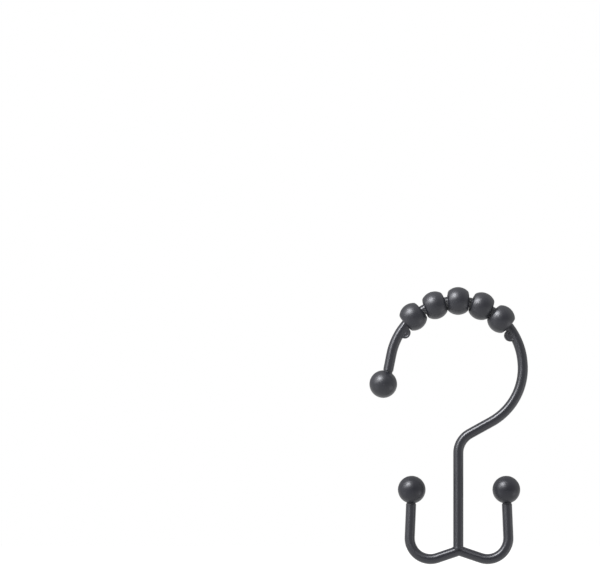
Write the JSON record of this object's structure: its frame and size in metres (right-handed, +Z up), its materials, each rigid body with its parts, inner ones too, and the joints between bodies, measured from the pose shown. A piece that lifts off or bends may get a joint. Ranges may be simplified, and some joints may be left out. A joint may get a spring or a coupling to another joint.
{
  "type": "shower curtain hook",
  "caption": "Open wire hook that hangs on a curtain rod by a row of roller beads and carries a curtain and a liner on two ball-ended seats below.",
  "frame": {"origin": "middle of the large arc that goes over the rod, in the plane of the hook", "axes": "+Z up along the stem, +X from the open tip side to the closed side, +Y along the rod, away from the viewer"},
  "size_m": [0.0545, 0.0096, 0.0952],
  "materials": {
    "black_wire": "satin black coat",
    "black_bead": "satin black coat"
  },
  "bodies": {
    "hook": {"hook_wire": "black_wire", "cross_wire": "black_wire", "tip_ball": "black_wire", "left_hook_ball": "black_wire", "right_hook_ball": "black_wire", "left_stop": "black_wire", "right_stop": "black_wire"},
    "bead_1": {"roller_bead_1": "black_bead"},
    "bead_2": {"roller_bead_2": "black_bead"},
    "bead_3": {"roller_bead_3": "black_bead"},
    "bead_4": {"roller_bead_4": "black_bead"},
    "bead_5": {"roller_bead_5": "black_bead"}
  },
  "joints": [
    {"name": "bead_1_roll", "type": "hinge", "parent": "hook", "child": "bead_1", "pos_m": [-0.01481, 0, 0.01747], "axis": [0.7627, 0, 0.6467], "continuous": true},
    {"name": "bead_2_roll", "type": "hinge", "parent": "hook", "child": "bead_2", "pos_m": [-0.00739, 0, 0.02141], "axis": [0.9453, 0, 0.3263], "continuous": true},
    {"name": "bead_3_roll", "type": "hinge", "parent": "hook", "child": "bead_3", "pos_m": [0.00058, 0, 0.02289], "axis": [0.9997, 0, -0.0254], "continuous": true},
    {"name": "bead_4_roll", "type": "hinge", "parent": "hook", "child": "bead_4", "pos_m": [0.0086, 0, 0.02112], "axis": [0.9262, 0, -0.3771], "continuous": true},
    {"name": "bead_5_roll", "type": "hinge", "parent": "hook", "child": "bead_5", "pos_m": [0.01535, 0, 0.01666], "axis": [0.7355, 0, -0.6775], "continuous": true}
  ]
}
